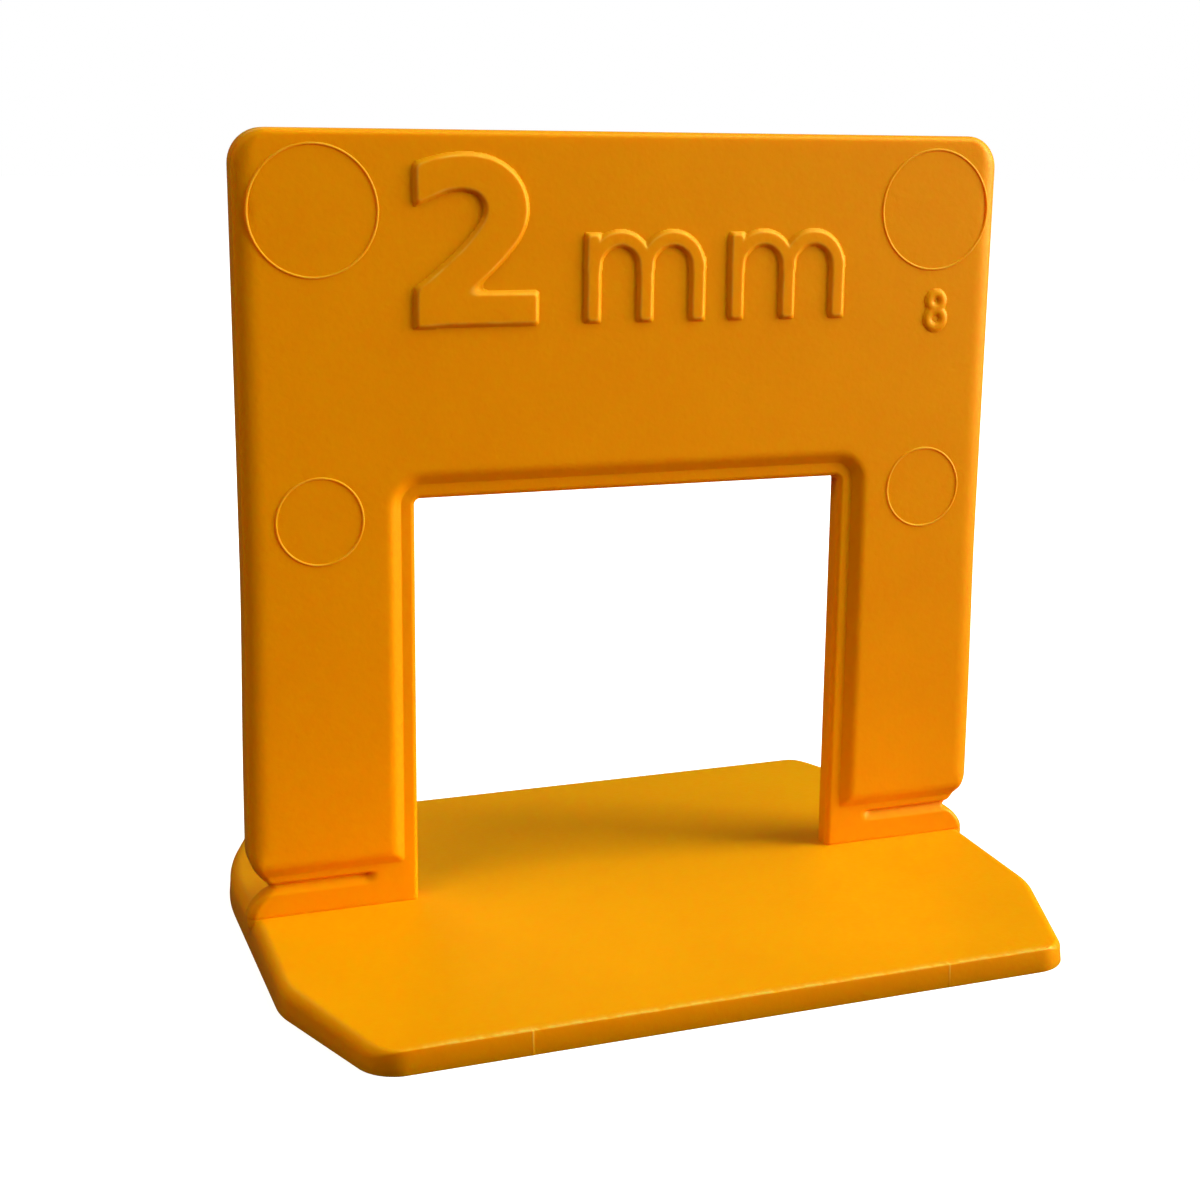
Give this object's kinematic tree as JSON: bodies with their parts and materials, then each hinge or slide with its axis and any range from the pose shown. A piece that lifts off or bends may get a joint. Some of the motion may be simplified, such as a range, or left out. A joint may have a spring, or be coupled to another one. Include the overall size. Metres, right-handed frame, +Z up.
{
  "type": "tile levelling clip",
  "caption": "Moulded plastic clip for levelling floor tiles: a chamfered base plate carries an upright with a wedge window and a grooved, notched break line.",
  "frame": {"origin": "on the floor, under the middle of the base", "axes": "+Z up, +X along the upright to the right as seen from the marked face, the marked face looks along -Y"},
  "size_m": [0.041, 0.0312, 0.041],
  "materials": {
    "orange_plastic": "fine moulded satin"
  },
  "bodies": {
    "root": {"levelling_clip": "orange_plastic"}
  },
  "joints": []
}
